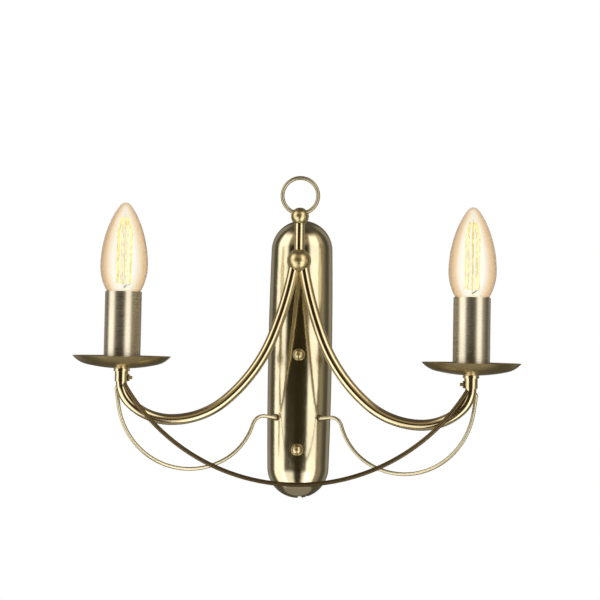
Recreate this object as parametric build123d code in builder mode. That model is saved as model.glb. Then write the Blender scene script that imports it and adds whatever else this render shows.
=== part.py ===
"""Double arm wall sconce with candle cups, a ring finial and bent brace wires.

Frame, in millimetres: the origin is on the wall, midway between the two screw slots of
the wall strap. +X points right, +Y points into the wall and +Z points up.
"""

import math
import os

from build123d import *

os.makedirs("parts", exist_ok=True)

# ---------------------------------------------------------------- fits
FIT = 0.05  # radial play of a screwed or pushed joint
SEAT = 0.02  # play between two faces that are clamped together
DRILL = 0.12  # radial play of a drilled hole round a bent wire
RUN = 0.07  # radial play of the turning bulb cap on its insulator
REST = 0.1  # height of the bulb cap above the insulator's shoulder

# ---------------------------------------------------------------- wall strap
STRAP_WIDTH = 20.0
STRAP_THICK = 2.0
STRAP_BOTTOM = -46.0
STRAP_TOP = 72.0
STRAP_CORNER = 4.0
SLOT_SPACING = 50.0
SLOT_LENGTH = 10.0
SLOT_RADIUS = 2.25
CABLE_HOLE_RADIUS = 5.0

# ---------------------------------------------------------------- M4 studs and nuts
STUD_RADIUS = 2.0
STUD_SPACING = 73.8
STUD_STAND_OFF = 0.3
HEX_M4 = 7.0
NUT_M4_HEIGHT = 3.2
CAP_NUT_RADIUS = 4.65
CAP_NUT_EDGE = 1.2
CAP_NUT_HEIGHT = 5.2
CAP_NUT_THREAD = 4.0

# ---------------------------------------------------------------- backplate shell
PLATE_Z = 33.5
PLATE_HALF_WIDTH = 25.5
PLATE_END_RADIUS = 24.4
PLATE_STRAIGHT = 86.0
PLATE_DEPTH = 21.0
PLATE_SHEET = 1.0
WEEP_NOTCH_HEIGHT = 2.1
WEEP_NOTCHES = ((2.0, 2.8), (7.5, 2.0))

# ---------------------------------------------------------------- hub
HUB_Y = -45.0
HUB_Z = 108.5
HUB_BALL_RADIUS = 9.2
HUB_SEAT_RADIUS = 6.0
HUB_CAVITY_RADIUS = 4.9
HUB_CAVITY_REACH = 3.6
STEM_RADIUS = 5.0
STEM_BORE_RADIUS = 4.2
STEM_GRIP = 2.6
STEM_TAIL = 1.2
HUB_WASHER_RADIUS = 8.0
HUB_WASHER_THICK = 1.0
HUB_NUT_HEX = 14.0
HUB_NUT_HEIGHT = 3.5

# ---------------------------------------------------------------- neck, top ball and ring
NECK_RADIUS = 3.9
NECK_BORE_RADIUS = 2.6
NECK_STUD_TOP_GRIP = 4.0
NECK_STUD_FOOT_GRIP = 2.8
TOP_BALL_RISE = 33.8
TOP_BALL_RADIUS = 6.8
RING_RISE = 15.9
RING_RADIUS = 13.6
RING_WIRE_RADIUS = 1.5
RING_HALF_GAP = 12.0
RING_SOCKET_END = 30.0

# ---------------------------------------------------------------- arms
CUP_X = 128.6
CUP_Y = -72.0
ARM_RADIUS = 4.1
ARM_BORE_RADIUS = 3.2
ARM_FOOT_DROP = 7.5
ARM_FOOT_REACH = 4.3
ARM_TAIL = 3.0
ARM_DRILL_REACH = 6.5
ARM_MITRE_GAP = 0.05
ARM_BENDS = ((21.65, -45.0), (43.4, -45.0), (62.7, -40.0), (122.0, -28.2))
ARM_TOP_Z = 20.0

# ---------------------------------------------------------------- cross rod and side wires
ROD_RADIUS = 1.6
ROD_Y = -75.1
ROD_LOW_Z = -57.5
ROD_TIP_INSET = 2.9
ROD_TIP_DROP = 1.9
WIRE_RADIUS = 1.4
WIRE_HOLE_X = 17.2
WIRE_HOLE_Z = -12.6
WIRE_HOLE_RADIUS = 2.7
WIRE_TAIL = 7.0
WIRE_CORNER_PROUD = 4.0
WIRE_CORNER_RADIUS = 2.6
WIRE_LEAD_ANGLE = 8.0
WIRE_LEAD = 8.9
WIRE_BENDS = ((8.9, -80.5), (46.8, 48.4), (57.1, 104.4))
WIRE_STEM_ANGLE = 40.0
WIRE_STEM_REACH = 6.1
WIRE_STEM_BEND = 2.0
WIRE_TIP_Z = 11.2
WIRE_TIP = 1.1
PUSH_NUT_RADIUS = 3.4
PUSH_NUT_THICK = 0.5

# ---------------------------------------------------------------- ferrule under each pan
FERRULE_RADIUS = 4.95
FERRULE_BOTTOM_Z = 15.2
FLANGE_RADIUS = 6.0
FLANGE_THICK = 1.9
LOCK_SCREW_RADIUS = 1.25
LOCK_SCREW_Z = 18.0
LOCK_SCREW_REACH = 7.9
LOCK_NUT_HEX = 4.6
LOCK_NUT_THICK = 0.9

# ---------------------------------------------------------------- drip pan and sleeve
PAN_RIM_Z = 34.0
PAN_RADIUS = 36.25
PAN_DEPTH = 9.4
PAN_SHEET = 0.7
PAN_BASE_CURVE = 115.0
PAN_BASE_REACH = 26.0
NIPPLE_RADIUS = 4.0
NIPPLE_BORE_RADIUS = 3.1
PAN_NUT_HEX = 12.0
PAN_NUT_HEIGHT = 3.0
SLEEVE_RADIUS = 13.55
SLEEVE_WALL = 0.8
SLEEVE_TOP_Z = 81.5

# ---------------------------------------------------------------- E14 lampholder
HOLDER_RADIUS = 11.0
HOLDER_TOP_Z = 70.0
HOLDER_BASE = 5.0
HOLDER_CHAMBER_RADIUS = 8.0
HOLDER_FLOOR_Z = 45.5
HOLDER_FLOOR = 2.5
HOLDER_MOUTH_RADIUS = 9.2
HOLDER_MOUTH = 4.0
SHELL_RADIUS = 7.6
SHELL_SHEET = 0.4
SHELL_HEIGHT = 17.0
CONTACT_HALF_LENGTH = 5.0
CONTACT_WIDTH = 4.0
CONTACT_SHEET = 0.4
CONTACT_RISE = 1.3
CONTACT_POST_RADIUS = 1.5

# ---------------------------------------------------------------- candle bulb
BULB_BUTTON_Z = 49.95
BULB_BUTTON_RADIUS = 2.3
BULB_BUTTON_HEIGHT = 1.0
INSULATOR_FOOT_RADIUS = 3.2
INSULATOR_HEIGHT = 2.5
SPIGOT_HEIGHT = 2.0
CAP_CREST_RADIUS = 6.9
CAP_ROOT_RADIUS = 6.4
CAP_PITCH = 2.82
CAP_THREADS = 5
CAP_SKIRT_RADIUS = 8.5
CAP_SKIRT_Z = 69.0
CAP_TOP_Z = 74.8
CAP_SHEET = 0.35
GLASS_TIP_Z = 147.8
GLASS_BENDS = ((5.0, -54.0), (59.8, -12.8), (84.8, -23.2), (38.0, -39.4), (4.0, 39.4))
GLASS_FOOT_Z = 68.9
GLASS_WALL = 0.7
MOUNT_FLARE = 6.0
MOUNT_ROD_RADIUS = 1.6
MOUNT_TOP_Z = 84.0
MOUNT_MAST_TOP_Z = 139.0
SUPPORT_RADIUS = 0.25
FILAMENT_RADIUS = 0.32
FILAMENT_BEND = 0.6
FILAMENT_LOOPS = 5
FILAMENT_SPREAD = 18.0
CAGE_RADIUS = 5.3
CAGE_FOOT_Z = 88.0
CAGE_SHOULDER_Z = 127.0
CAGE_PEAK_Z = 141.0
CAGE_PEAK_RADIUS = 1.4

# ---------------------------------------------------------------- wiring in the plate
CABLE_RADIUS = 1.25
CABLE_BEND = 4.0
CABLE_DROP = 20.5
CABLE_BACK_Y = -6.0
BLOCK_Z = 60.0
BLOCK_WIDTH = 20.0
BLOCK_HEIGHT = 12.0
BLOCK_DEPTH = 9.0
BLOCK_PITCH = 7.0
BLOCK_WAY_RADIUS = 1.5
BLOCK_GRIP = 3.0
CLAMP_SCREW_RADIUS = 1.3
CLAMP_SCREW_SPREAD = 6.4
CLAMP_SCREW_PROUD = 0.5
BLOCK_SCREW_RADIUS = 1.5
BLOCK_SCREW_HEAD_RADIUS = 2.4
BLOCK_SCREW_HEAD = 1.2
EARTH_Z = 46.5
EARTH_SCREW_RADIUS = 1.75
EARTH_HEAD_RADIUS = 3.0
EARTH_HEAD = 2.0
TAG_RADIUS = 3.0
TAG_SHEET = 0.6
TAG_TONGUE = 5.6
TAG_TONGUE_WIDTH = 4.0
EARTH_LEAD_RADIUS = 0.9
EARTH_LEAD_BEND = 1.6

# ---------------------------------------------------------------- worked out from the above
SIDES = (("left", -1), ("right", 1))
PLATE_RATIO = PLATE_DEPTH / PLATE_HALF_WIDTH
STRAP_FRONT = -STRAP_THICK
STUD_Z = STUD_SPACING / 2
PAN_BOTTOM_Z = PAN_RIM_Z - PAN_DEPTH
FLANGE_TOP_Z = PAN_BOTTOM_Z - SEAT
HUB_SEAT_Y = HUB_Y + math.sqrt(HUB_BALL_RADIUS**2 - HUB_SEAT_RADIUS**2)
ARM_FOOT_Z = HUB_Z - ARM_FOOT_DROP
TOP_BALL_Z = HUB_Z + TOP_BALL_RISE
RING_Z = TOP_BALL_Z + RING_RISE
NECK_FOOT_Z = HUB_Z + math.sqrt(HUB_BALL_RADIUS**2 - NECK_RADIUS**2)
NECK_HEAD_Z = TOP_BALL_Z - math.sqrt(TOP_BALL_RADIUS**2 - NECK_RADIUS**2)
DOWN_AXIS = Axis((0, 0, 0), (0, 0, -1))


def plate_half_width(z, inset=0.0):
    """Half width of the plate's outline at a height, or of the surface inset from it."""
    height = abs(z - PLATE_Z)
    end_radius = PLATE_END_RADIUS - inset
    bulge = PLATE_HALF_WIDTH - PLATE_END_RADIUS
    if height > PLATE_STRAIGHT:
        return math.sqrt(max(end_radius**2 - (height - PLATE_STRAIGHT) ** 2, 0.0))
    side_radius = (PLATE_STRAIGHT**2 + bulge**2) / (2 * bulge)
    return PLATE_HALF_WIDTH - inset - side_radius + math.sqrt(side_radius**2 - height**2)


def plate_front(x, z, inset=0.0):
    """Y of the plate's outer surface, or of its inner surface when inset is the sheet."""
    ratio = (PLATE_DEPTH - inset) / (PLATE_HALF_WIDTH - inset)
    return -ratio * math.sqrt(plate_half_width(z, inset) ** 2 - x**2)


def pan_floor(radius):
    """Height of the pan's upper surface at a radius on its shallow base."""
    curve = PAN_BASE_CURVE - PAN_SHEET
    return PAN_BOTTOM_Z + PAN_BASE_CURVE - math.sqrt(curve**2 - radius**2)


def front_plane(x, y, z):
    """Plane facing the room, with its own x to the right and its own y upwards."""
    return Plane(origin=(x, y, z), x_dir=(1, 0, 0), z_dir=(0, -1, 0))


def upright_plane(origin, target):
    """Upright plane through two points of the plan; its x runs from origin to target."""
    run = Vector(target[0] - origin[0], target[1] - origin[1], 0).normalized()
    return Plane(origin=(origin[0], origin[1], 0), x_dir=run, z_dir=run.cross(Vector(0, 0, 1)))


def plan_distance(origin, target):
    """Distance between two points of the plan."""
    return math.hypot(target[0] - origin[0], target[1] - origin[1])


def draw_bends(plane, start, heading, bends):
    """Draw tangent arcs of (radius, turn) from start; give the last point and direction."""
    across, up = start
    piece = None
    for radius, turn in bends:
        hand = math.copysign(1, turn)
        spoke = math.radians(heading - hand * 90)
        centre = (across - radius * math.cos(spoke), up - radius * math.sin(spoke))
        points = []
        for part in (0, turn / 2, turn):
            angle = spoke + math.radians(part)
            reach = (centre[0] + radius * math.cos(angle), centre[1] + radius * math.sin(angle))
            points.append(plane.from_local_coords((reach[0], reach[1], 0)))
        piece = ThreePointArc(*points)
        across, up = reach
        heading += turn
    return piece @ 1, piece % 1


def end_face(route, place):
    """Plane across a route at 0 for its start or 1 for its end."""
    wire = route.wire()
    return Plane(origin=wire @ place, z_dir=wire % place)


def save(block, name):
    """Label a finished piece and write it."""
    block.part.label = name
    export_step(block.part, f"parts/{name}.step")


# ---------------------------------------------------------------- routes of bent pieces
def arm_plane(sign):
    """Upright plane that holds one arm, from the hub axis to the cup axis."""
    return upright_plane((0, HUB_Y), (sign * CUP_X, CUP_Y))


CUP_REACH = plan_distance((0, HUB_Y), (CUP_X, CUP_Y))


def draw_arm(sign, top_z):
    """Draw an arm's axis from top_z in the cup down to its foot at the hub."""
    plane = arm_plane(sign)
    top = plane.from_local_coords((CUP_REACH, top_z, 0))
    start = plane.from_local_coords((CUP_REACH, FERRULE_BOTTOM_Z, 0))
    foot = plane.from_local_coords((ARM_FOOT_REACH, ARM_FOOT_Z, 0))
    Line(top, start)
    bend_end, direction = draw_bends(plane, (CUP_REACH, FERRULE_BOTTOM_Z), -90, ARM_BENDS)
    last = TangentArc(bend_end, foot, tangent=direction)
    return last @ 1, last % 1


def arm_axis_at(sign, z):
    """Point of the arm's axis at a height on its first bend below the ferrule."""
    radius = ARM_BENDS[0][0]
    drop = FERRULE_BOTTOM_Z - z
    reach = CUP_REACH - radius + math.sqrt(radius**2 - drop**2)
    return arm_plane(sign).from_local_coords((reach, z, 0))


def draw_rod():
    """Draw the cross rod's single arc between its two tips in the arms."""
    tip_x = CUP_X - ROD_TIP_INSET
    tip_z = FERRULE_BOTTOM_Z - ROD_TIP_DROP
    ThreePointArc((-tip_x, ROD_Y, tip_z), (0, ROD_Y, ROD_LOW_Z), (tip_x, ROD_Y, tip_z))


def draw_side_wire(sign):
    """Draw a side wire from its tail inside the plate to its tip in the arm's wall.

    Give the point where it enters the wall and its direction there.
    """
    axis = arm_axis_at(sign, WIRE_TIP_Z)
    angle = math.radians(WIRE_STEM_ANGLE)
    out = Vector(sign * math.cos(angle), math.sin(angle), 0)
    shoulder = axis + out * (WIRE_STEM_REACH - WIRE_STEM_BEND)
    stem = axis + out * WIRE_STEM_REACH - Vector(0, 0, WIRE_STEM_BEND)
    surface = plate_front(WIRE_HOLE_X, WIRE_HOLE_Z)
    hole = (sign * WIRE_HOLE_X, surface - WIRE_CORNER_PROUD)
    plane = upright_plane(hole, (stem.X, stem.Y))
    lead = math.radians(WIRE_LEAD_ANGLE)
    crest = (WIRE_LEAD * math.cos(lead), WIRE_HOLE_Z + WIRE_LEAD * math.sin(lead))
    FilletPolyline(
        (hole[0], surface + WIRE_TAIL, WIRE_HOLE_Z),
        (hole[0], hole[1], WIRE_HOLE_Z),
        plane.from_local_coords((crest[0], crest[1], 0)),
        radius=WIRE_CORNER_RADIUS,
    )
    bend_end, direction = draw_bends(plane, crest, WIRE_LEAD_ANGLE, WIRE_BENDS)
    rise = TangentArc(bend_end, stem, tangent=direction)
    last = TangentArc(stem, shoulder, tangent=rise % 1)
    Line(shoulder, shoulder + (last % 1) * WIRE_TIP)
    return shoulder, last % 1


# ---------------------------------------------------------------- wall strap
with BuildPart() as mounting_bracket:
    with BuildSketch(Plane.XZ) as strap_outline:
        with Locations((0, (STRAP_TOP + STRAP_BOTTOM) / 2)):
            RectangleRounded(STRAP_WIDTH, STRAP_TOP - STRAP_BOTTOM, STRAP_CORNER)
        with Locations((0, SLOT_SPACING / 2), (0, -SLOT_SPACING / 2)):
            SlotOverall(SLOT_LENGTH, 2 * SLOT_RADIUS, rotation=90, mode=Mode.SUBTRACT)
        Circle(CABLE_HOLE_RADIUS, mode=Mode.SUBTRACT)
        with Locations((0, STUD_Z), (0, -STUD_Z)):
            Circle(STUD_RADIUS + FIT, mode=Mode.SUBTRACT)
        with Locations((0, EARTH_Z)):
            Circle(EARTH_SCREW_RADIUS + FIT, mode=Mode.SUBTRACT)
        with Locations((BLOCK_PITCH / 2, BLOCK_Z)):
            Circle(BLOCK_SCREW_RADIUS + FIT, mode=Mode.SUBTRACT)
    extrude(amount=STRAP_THICK)
save(mounting_bracket, "mounting_bracket")

# ---------------------------------------------------------------- studs and their nuts
def cap_seat(stud_z):
    """Y of the flat face of a cap nut, just clear of the plate's crown."""
    above = plate_front(0, stud_z + CAP_NUT_RADIUS)
    below = plate_front(0, stud_z - CAP_NUT_RADIUS)
    return min(above, below) - SEAT


with BuildPart() as bracket_studs:
    for stud_z in (STUD_Z, -STUD_Z):
        with BuildSketch(front_plane(0, -STUD_STAND_OFF, stud_z)) as stud_round:
            Circle(STUD_RADIUS)
        extrude(amount=-STUD_STAND_OFF - cap_seat(stud_z) + CAP_NUT_THREAD - FIT)
save(bracket_studs, "bracket_studs")

with BuildPart() as stud_nuts:
    with BuildSketch(Plane.XZ.offset(STRAP_THICK + SEAT)) as stud_nut_outline:
        with Locations((0, STUD_Z), (0, -STUD_Z)):
            RegularPolygon(HEX_M4 / 2, 6, major_radius=False)
            Circle(STUD_RADIUS + FIT, mode=Mode.SUBTRACT)
    extrude(amount=NUT_M4_HEIGHT)
save(stud_nuts, "stud_nuts")

with BuildPart() as cap_nuts:
    for stud_z in (STUD_Z, -STUD_Z):
        seat_y = cap_seat(stud_z)
        with BuildSketch(Plane.YZ) as cap_nut_profile:
            with BuildLine():
                rim = (seat_y - CAP_NUT_EDGE, stud_z + CAP_NUT_RADIUS)
                crown = (seat_y - CAP_NUT_HEIGHT, stud_z)
                Line((seat_y, stud_z), (seat_y, stud_z + CAP_NUT_RADIUS))
                Line((seat_y, stud_z + CAP_NUT_RADIUS), rim)
                TangentArc(crown, rim, tangent=(0, 1))
                Line(crown, (seat_y, stud_z))
            make_face()
        revolve(axis=Axis((0, 0, stud_z), (0, 1, 0)))
        with BuildSketch(front_plane(0, seat_y, stud_z)) as cap_nut_thread:
            Circle(STUD_RADIUS + FIT)
        extrude(amount=CAP_NUT_THREAD, mode=Mode.SUBTRACT)
save(cap_nuts, "cap_nuts")


# ---------------------------------------------------------------- backplate
def draw_plate_half(inset):
    """Half outline of the plate in the XZ plane, closed along its long axis."""
    end_radius = PLATE_END_RADIUS - inset
    top = PLATE_Z + PLATE_STRAIGHT
    bottom = PLATE_Z - PLATE_STRAIGHT
    ThreePointArc((end_radius, bottom), (PLATE_HALF_WIDTH - inset, PLATE_Z), (end_radius, top))
    CenterArc((0, top), end_radius, 0, 90)
    CenterArc((0, bottom), end_radius, -90, 90)
    Line((0, bottom - end_radius), (0, top + end_radius))


with BuildPart() as plate_cavity:
    with BuildSketch(Plane.XZ) as cavity_profile:
        with BuildLine():
            draw_plate_half(PLATE_SHEET)
        make_face()
    revolve(axis=DOWN_AXIS, revolution_arc=180)
    scale(by=(1, (PLATE_DEPTH - PLATE_SHEET) / (PLATE_HALF_WIDTH - PLATE_SHEET), 1))

with BuildPart() as backplate:
    with BuildSketch(Plane.XZ) as plate_profile:
        with BuildLine():
            draw_plate_half(0)
        make_face()
    revolve(axis=DOWN_AXIS, revolution_arc=180)
    scale(by=(1, PLATE_RATIO, 1))
    add(plate_cavity.part, mode=Mode.SUBTRACT)
    with BuildSketch(Plane.XZ) as plate_holes:
        with Locations((0, STUD_Z), (0, -STUD_Z)):
            Circle(STUD_RADIUS + DRILL)
        with Locations((0, HUB_Z)):
            Circle(STEM_RADIUS + DRILL)
        with Locations((WIRE_HOLE_X, WIRE_HOLE_Z), (-WIRE_HOLE_X, WIRE_HOLE_Z)):
            Circle(WIRE_HOLE_RADIUS)
        for notch_x, notch_width in WEEP_NOTCHES:
            with Locations((notch_x, PLATE_Z - PLATE_STRAIGHT - PLATE_END_RADIUS)):
                Rectangle(notch_width, 2 * WEEP_NOTCH_HEIGHT)
    extrude(amount=PLATE_DEPTH + PLATE_SHEET, mode=Mode.SUBTRACT)
save(backplate, "backplate")

# ---------------------------------------------------------------- hub stem and its nut
STEM_FRONT_Y = HUB_SEAT_Y - STEM_GRIP
WASHER_FRONT_Y = plate_front(HUB_WASHER_RADIUS, HUB_Z, PLATE_SHEET) + SEAT
NUT_FRONT_Y = WASHER_FRONT_Y + HUB_WASHER_THICK + SEAT
STEM_BACK_Y = NUT_FRONT_Y + HUB_NUT_HEIGHT + STEM_TAIL
SPACER_BACK_Y = plate_front(0, HUB_Z - HUB_SEAT_RADIUS) - SEAT

with BuildPart() as hub_stem:
    with BuildSketch(front_plane(0, STEM_BACK_Y, HUB_Z)) as stem_ring:
        Circle(STEM_RADIUS)
        Circle(STEM_BORE_RADIUS, mode=Mode.SUBTRACT)
    extrude(amount=STEM_BACK_Y - STEM_FRONT_Y)
save(hub_stem, "hub_stem")

with BuildPart() as hub_washer:
    with BuildSketch(front_plane(0, WASHER_FRONT_Y + HUB_WASHER_THICK, HUB_Z)) as washer_ring:
        Circle(HUB_WASHER_RADIUS)
        Circle(STEM_RADIUS + FIT, mode=Mode.SUBTRACT)
    extrude(amount=HUB_WASHER_THICK)
save(hub_washer, "hub_washer")

with BuildPart() as hub_nut:
    with BuildSketch(front_plane(0, NUT_FRONT_Y + HUB_NUT_HEIGHT, HUB_Z)) as hub_nut_outline:
        RegularPolygon(HUB_NUT_HEX / 2, 6, major_radius=False)
        Circle(STEM_RADIUS + FIT, mode=Mode.SUBTRACT)
    extrude(amount=HUB_NUT_HEIGHT)
save(hub_nut, "hub_nut")

with BuildPart() as hub_spacer:
    with BuildSketch(front_plane(0, SPACER_BACK_Y, HUB_Z)) as spacer_ring:
        Circle(HUB_SEAT_RADIUS)
        Circle(STEM_RADIUS + FIT, mode=Mode.SUBTRACT)
    extrude(amount=SPACER_BACK_Y - HUB_SEAT_Y - SEAT)
save(hub_spacer, "hub_spacer")

# ---------------------------------------------------------------- hub ball
with BuildPart() as hub_ball:
    with Locations((0, HUB_Y, HUB_Z)):
        Sphere(HUB_BALL_RADIUS)
    split(bisect_by=front_plane(0, HUB_SEAT_Y, HUB_Z), keep=Keep.TOP)
    with BuildSketch(front_plane(0, HUB_SEAT_Y, HUB_Z)) as stem_thread:
        Circle(STEM_RADIUS + FIT)
    extrude(amount=STEM_GRIP + FIT, mode=Mode.SUBTRACT)
    with BuildSketch(front_plane(0, HUB_SEAT_Y, HUB_Z)) as hub_cavity:
        Circle(HUB_CAVITY_RADIUS)
    extrude(amount=HUB_SEAT_Y - HUB_Y + HUB_CAVITY_REACH, mode=Mode.SUBTRACT)
    with BuildSketch(Plane.XY.offset(NECK_FOOT_Z)) as neck_seat:
        with Locations((0, HUB_Y)):
            Circle(NECK_RADIUS + FIT)
    extrude(amount=HUB_BALL_RADIUS, mode=Mode.SUBTRACT)
    with BuildSketch(Plane.XY.offset(HUB_Z)) as neck_thread:
        with Locations((0, HUB_Y)):
            Circle(STUD_RADIUS + FIT)
    extrude(amount=HUB_BALL_RADIUS, mode=Mode.SUBTRACT)
    for _, sign in SIDES:
        with BuildLine(mode=Mode.PRIVATE) as socket_route:
            socket_foot, socket_direction = draw_arm(sign, ARM_TOP_Z)
        socket_low = socket_foot - socket_direction * HUB_BALL_RADIUS
        with BuildSketch(Plane(origin=socket_low, z_dir=socket_direction)) as arm_socket:
            Circle(ARM_RADIUS + FIT)
        extrude(amount=HUB_BALL_RADIUS + ARM_TAIL + FIT, mode=Mode.SUBTRACT)
        with BuildSketch(Plane(origin=socket_foot, z_dir=socket_direction)) as cable_drill:
            Circle(ARM_BORE_RADIUS)
        extrude(amount=ARM_DRILL_REACH, mode=Mode.SUBTRACT)
save(hub_ball, "hub_ball")

# ---------------------------------------------------------------- neck
with BuildPart() as neck_tube:
    with BuildSketch(Plane.XY.offset(NECK_FOOT_Z + SEAT)) as neck_ring:
        with Locations((0, HUB_Y)):
            Circle(NECK_RADIUS)
            Circle(NECK_BORE_RADIUS, mode=Mode.SUBTRACT)
    extrude(amount=NECK_HEAD_Z - NECK_FOOT_Z - 2 * SEAT)
save(neck_tube, "neck_tube")

with BuildPart() as neck_stud:
    with BuildSketch(Plane.XY.offset(NECK_FOOT_Z - NECK_STUD_FOOT_GRIP)) as neck_stud_round:
        with Locations((0, HUB_Y)):
            Circle(STUD_RADIUS)
    extrude(amount=NECK_HEAD_Z + NECK_STUD_TOP_GRIP - NECK_FOOT_Z + NECK_STUD_FOOT_GRIP)
save(neck_stud, "neck_stud")

# ---------------------------------------------------------------- top ball and ring
RING_PLANE = front_plane(0, HUB_Y, RING_Z)
RING_BOTTOM = -90

with BuildPart() as top_ball:
    with Locations((0, HUB_Y, TOP_BALL_Z)):
        Sphere(TOP_BALL_RADIUS)
    with BuildSketch(Plane.XY.offset(NECK_HEAD_Z)) as head_seat:
        with Locations((0, HUB_Y)):
            Circle(NECK_RADIUS + FIT)
    extrude(amount=-TOP_BALL_RADIUS, mode=Mode.SUBTRACT)
    with BuildSketch(Plane.XY.offset(NECK_HEAD_Z)) as head_thread:
        with Locations((0, HUB_Y)):
            Circle(STUD_RADIUS + FIT)
    extrude(amount=NECK_STUD_TOP_GRIP + FIT, mode=Mode.SUBTRACT)
    for _, sign in SIDES:
        with BuildLine(RING_PLANE) as socket_arc:
            CenterArc(
                (0, 0),
                RING_RADIUS,
                RING_BOTTOM + sign * (RING_HALF_GAP - FIT * 10),
                sign * (RING_SOCKET_END - RING_HALF_GAP),
            )
        with BuildSketch(end_face(socket_arc, 0)) as socket_round:
            Circle(RING_WIRE_RADIUS + DRILL)
        sweep(path=socket_arc.wire(), mode=Mode.SUBTRACT)
save(top_ball, "top_ball")

with BuildPart() as top_ring:
    with BuildLine(RING_PLANE) as ring_arc:
        CenterArc((0, 0), RING_RADIUS, RING_BOTTOM + RING_HALF_GAP, 360 - 2 * RING_HALF_GAP)
    with BuildSketch(end_face(ring_arc, 0)) as ring_round:
        Circle(RING_WIRE_RADIUS)
    sweep(path=ring_arc.wire())
save(top_ring, "top_ring")


# ---------------------------------------------------------------- cross rod and side wires
def sweep_round(route, radius, mode=Mode.ADD):
    """Sweep a disc of a radius along a drawn route."""
    with BuildSketch(end_face(route, 0), mode=Mode.PRIVATE) as section:
        Circle(radius)
    sweep(section.sketch, path=route.wire(), mode=mode)


with BuildPart() as cross_rod:
    with BuildLine() as rod_route:
        draw_rod()
    sweep_round(rod_route, ROD_RADIUS)
save(cross_rod, "cross_rod")

PUSH_NUT_FRONT_Y = plate_front(WIRE_HOLE_X + PUSH_NUT_RADIUS, WIRE_HOLE_Z, PLATE_SHEET) + SEAT

with BuildPart() as wire_push_nuts:
    with BuildSketch(Plane.XZ.offset(-PUSH_NUT_FRONT_Y)) as push_nut_rings:
        with Locations((WIRE_HOLE_X, WIRE_HOLE_Z), (-WIRE_HOLE_X, WIRE_HOLE_Z)):
            Circle(PUSH_NUT_RADIUS)
            Circle(WIRE_RADIUS + FIT, mode=Mode.SUBTRACT)
    extrude(amount=-PUSH_NUT_THICK)
save(wire_push_nuts, "wire_push_nuts")

# ---------------------------------------------------------------- side wires
for side, sign in SIDES:
    with BuildPart() as side_wire:
        with BuildLine() as wire_route:
            draw_side_wire(sign)
        sweep_round(wire_route, WIRE_RADIUS)
    save(side_wire, f"{side}_side_wire")

# ---------------------------------------------------------------- arms
with BuildPart() as right_arm:
    with BuildLine() as arm_route:
        arm_foot, arm_direction = draw_arm(1, ARM_TOP_Z)
        Line(arm_foot, arm_foot + arm_direction * ARM_TAIL)
    with BuildSketch(end_face(arm_route, 0)) as arm_ring:
        Circle(ARM_RADIUS)
        Circle(ARM_BORE_RADIUS, mode=Mode.SUBTRACT)
    sweep(path=arm_route.wire())
    split(bisect_by=Plane.YZ.offset(ARM_MITRE_GAP), keep=Keep.TOP)
    with BuildLine(mode=Mode.PRIVATE) as rod_entry_route:
        draw_rod()
    sweep_round(rod_entry_route, ROD_RADIUS + DRILL, Mode.SUBTRACT)
    with BuildLine(mode=Mode.PRIVATE) as wire_entry_route:
        shoulder, inward = draw_side_wire(1)
    with BuildSketch(Plane(origin=shoulder, z_dir=inward)) as wire_entry:
        Circle(WIRE_RADIUS + DRILL)
    extrude(amount=2 * WIRE_TIP, both=True, mode=Mode.SUBTRACT)
save(right_arm, "right_arm")

with BuildPart() as left_arm:
    mirror(right_arm.part, about=Plane.YZ)
save(left_arm, "left_arm")

# ---------------------------------------------------------------- cups
HOLDER_BOTTOM_Z = pan_floor(PAN_NUT_HEX / math.sqrt(3)) + PAN_NUT_HEIGHT + 3 * SEAT
NIPPLE_BOTTOM_Z = ARM_TOP_Z + SEAT
CAP_BOTTOM_Z = BULB_BUTTON_Z + BULB_BUTTON_HEIGHT + INSULATOR_HEIGHT + REST
SPIGOT_RADIUS = CAP_ROOT_RADIUS - CAP_SHEET - RUN


def cup_level(sign, z):
    """Level plane on a cup's axis, with its own x pointing away from the middle."""
    return Plane(origin=(sign * CUP_X, CUP_Y, z), x_dir=(sign, 0, 0), z_dir=(0, 0, 1))


def cup_section(sign):
    """Upright plane through a cup's axis; its y is the real height."""
    return Plane(origin=(sign * CUP_X, CUP_Y, 0), x_dir=(1, 0, 0), z_dir=(0, -1, 0))


def cup_axis(sign):
    """The upright axis of a cup."""
    return Axis((sign * CUP_X, CUP_Y, 0), (0, 0, 1))


def draw_glass(inset):
    """Closed half section of the bulb's glass, or of the space in it when inset."""
    bends = [(radius - math.copysign(inset, -turn), turn) for radius, turn in GLASS_BENDS]
    tip = (0, GLASS_TIP_Z - inset)
    neck, _ = draw_bends(Plane.XY, tip, 0, bends)
    Line(neck, (neck.X, GLASS_FOOT_Z))
    Line((neck.X, GLASS_FOOT_Z), (0, GLASS_FOOT_Z))
    Line((0, GLASS_FOOT_Z), tip)
    return neck.X


def cap_outline():
    """Threaded outline of the bulb cap from its foot up to its skirt."""
    points = []
    for thread in range(CAP_THREADS):
        foot = CAP_BOTTOM_Z + thread * CAP_PITCH
        points.append((CAP_ROOT_RADIUS, foot))
        points.append((CAP_CREST_RADIUS, foot + CAP_PITCH / 2))
    points.append((CAP_ROOT_RADIUS, CAP_BOTTOM_Z + CAP_THREADS * CAP_PITCH))
    points.append((CAP_SKIRT_RADIUS, CAP_SKIRT_Z))
    points.append((CAP_SKIRT_RADIUS, CAP_TOP_Z))
    return points


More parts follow.
